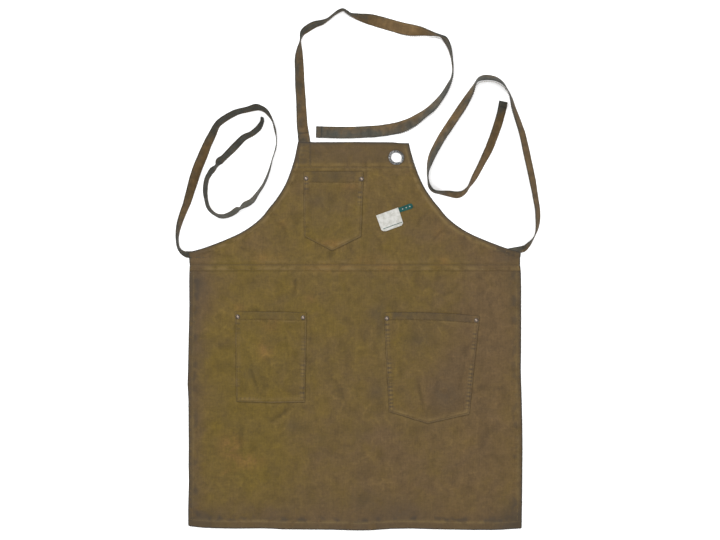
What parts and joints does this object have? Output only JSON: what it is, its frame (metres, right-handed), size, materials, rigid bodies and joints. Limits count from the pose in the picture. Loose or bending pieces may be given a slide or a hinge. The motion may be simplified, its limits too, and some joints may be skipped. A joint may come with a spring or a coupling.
{
  "type": "butcher apron",
  "caption": "Waxed-canvas bib apron laid flat, with patch pockets, riveted pocket corners, an eyelet, a neck strap and waist ties; it protects the wearer's clothes.",
  "frame": {"origin": "middle of the cloth body's box in X and Y, on the surface the back of the cloth rests on", "axes": "+Y along the cloth towards the top of the bib, +X across it to the right seen from the front, +Z out of the front face"},
  "size_m": [0.7651, 1.0908, 0.025],
  "materials": {
    "waxed_canvas": "waxed, mottled olive brown",
    "strap_cloth": "matt dark brown",
    "thread": "matt brown thread",
    "antique_brass": "antiqued",
    "bright_nickel": "bright nickel plate",
    "embroidery": "satin-stitched cream thread"
  },
  "bodies": {
    "skirt": {"skirt_panel": "waxed_canvas", "left_side_hem": "waxed_canvas", "right_side_hem": "waxed_canvas", "bottom_hem": "waxed_canvas", "waist_seam_band": "waxed_canvas", "left_pocket": "waxed_canvas", "right_pocket": "waxed_canvas", "left_pocket_stitching": "thread", "right_pocket_stitching": "thread", "left_pocket_mouth_stitching": "thread", "right_pocket_mouth_stitching": "thread", "left_side_stitching": "thread", "right_side_stitching": "thread", "bottom_hem_stitching": "thread", "waist_stitching_lower": "thread", "waist_stitching_upper": "thread", "left_pocket_rivet_cap_left": "antique_brass", "left_pocket_rivet_cap_right": "antique_brass", "right_pocket_rivet_cap_left": "antique_brass", "right_pocket_rivet_cap_right": "antique_brass", "left_pocket_rivet_burr_left": "antique_brass", "left_pocket_rivet_burr_right": "antique_brass", "right_pocket_rivet_burr_left": "antique_brass", "right_pocket_rivet_burr_right": "antique_brass"},
    "bib": {"bib_panel": "waxed_canvas", "bib_top_facing": "waxed_canvas", "left_armhole_hem": "waxed_canvas", "right_armhole_hem": "waxed_canvas", "bib_pocket": "waxed_canvas", "bib_pocket_stitching": "thread", "bib_pocket_mouth_stitching": "thread", "bib_facing_stitching": "thread", "left_armhole_stitching": "thread", "right_armhole_stitching": "thread", "emblem": "embroidery", "grommet_face": "bright_nickel", "grommet_washer": "bright_nickel", "neck_strap_root": "strap_cloth", "left_tie_root": "strap_cloth", "right_tie_root": "strap_cloth", "neck_strap_stitching": "thread", "left_tie_stitching": "thread", "right_tie_stitching": "thread", "bib_pocket_rivet_cap_left": "antique_brass", "bib_pocket_rivet_cap_right": "antique_brass", "bib_pocket_rivet_burr_left": "antique_brass", "bib_pocket_rivet_burr_right": "antique_brass"},
    "neck_strap": {"neck_strap": "strap_cloth"},
    "left_tie": {"left_tie": "strap_cloth"},
    "right_tie": {"right_tie": "strap_cloth"}
  },
  "joints": [
    {"name": "bib_fold", "type": "hinge", "parent": "skirt", "child": "bib", "pos_m": [0, 0.1537, 0.0043], "axis": [-1, 0, 0], "range_deg": [-150, 0]},
    {"name": "neck_strap_fold", "type": "hinge", "parent": "bib", "child": "neck_strap", "pos_m": [-0.1065, 0.4073, 0.0043], "axis": [1, 0, 0], "range_deg": [0, 45]},
    {"name": "left_tie_fold", "type": "hinge", "parent": "bib", "child": "left_tie", "pos_m": [-0.3502, 0.169, 0.0125], "axis": [1, 0, 0], "range_deg": [0, 160]},
    {"name": "right_tie_fold", "type": "hinge", "parent": "bib", "child": "right_tie", "pos_m": [0.3502, 0.18, 0.0125], "axis": [1, 0, 0], "range_deg": [0, 160]}
  ]
}
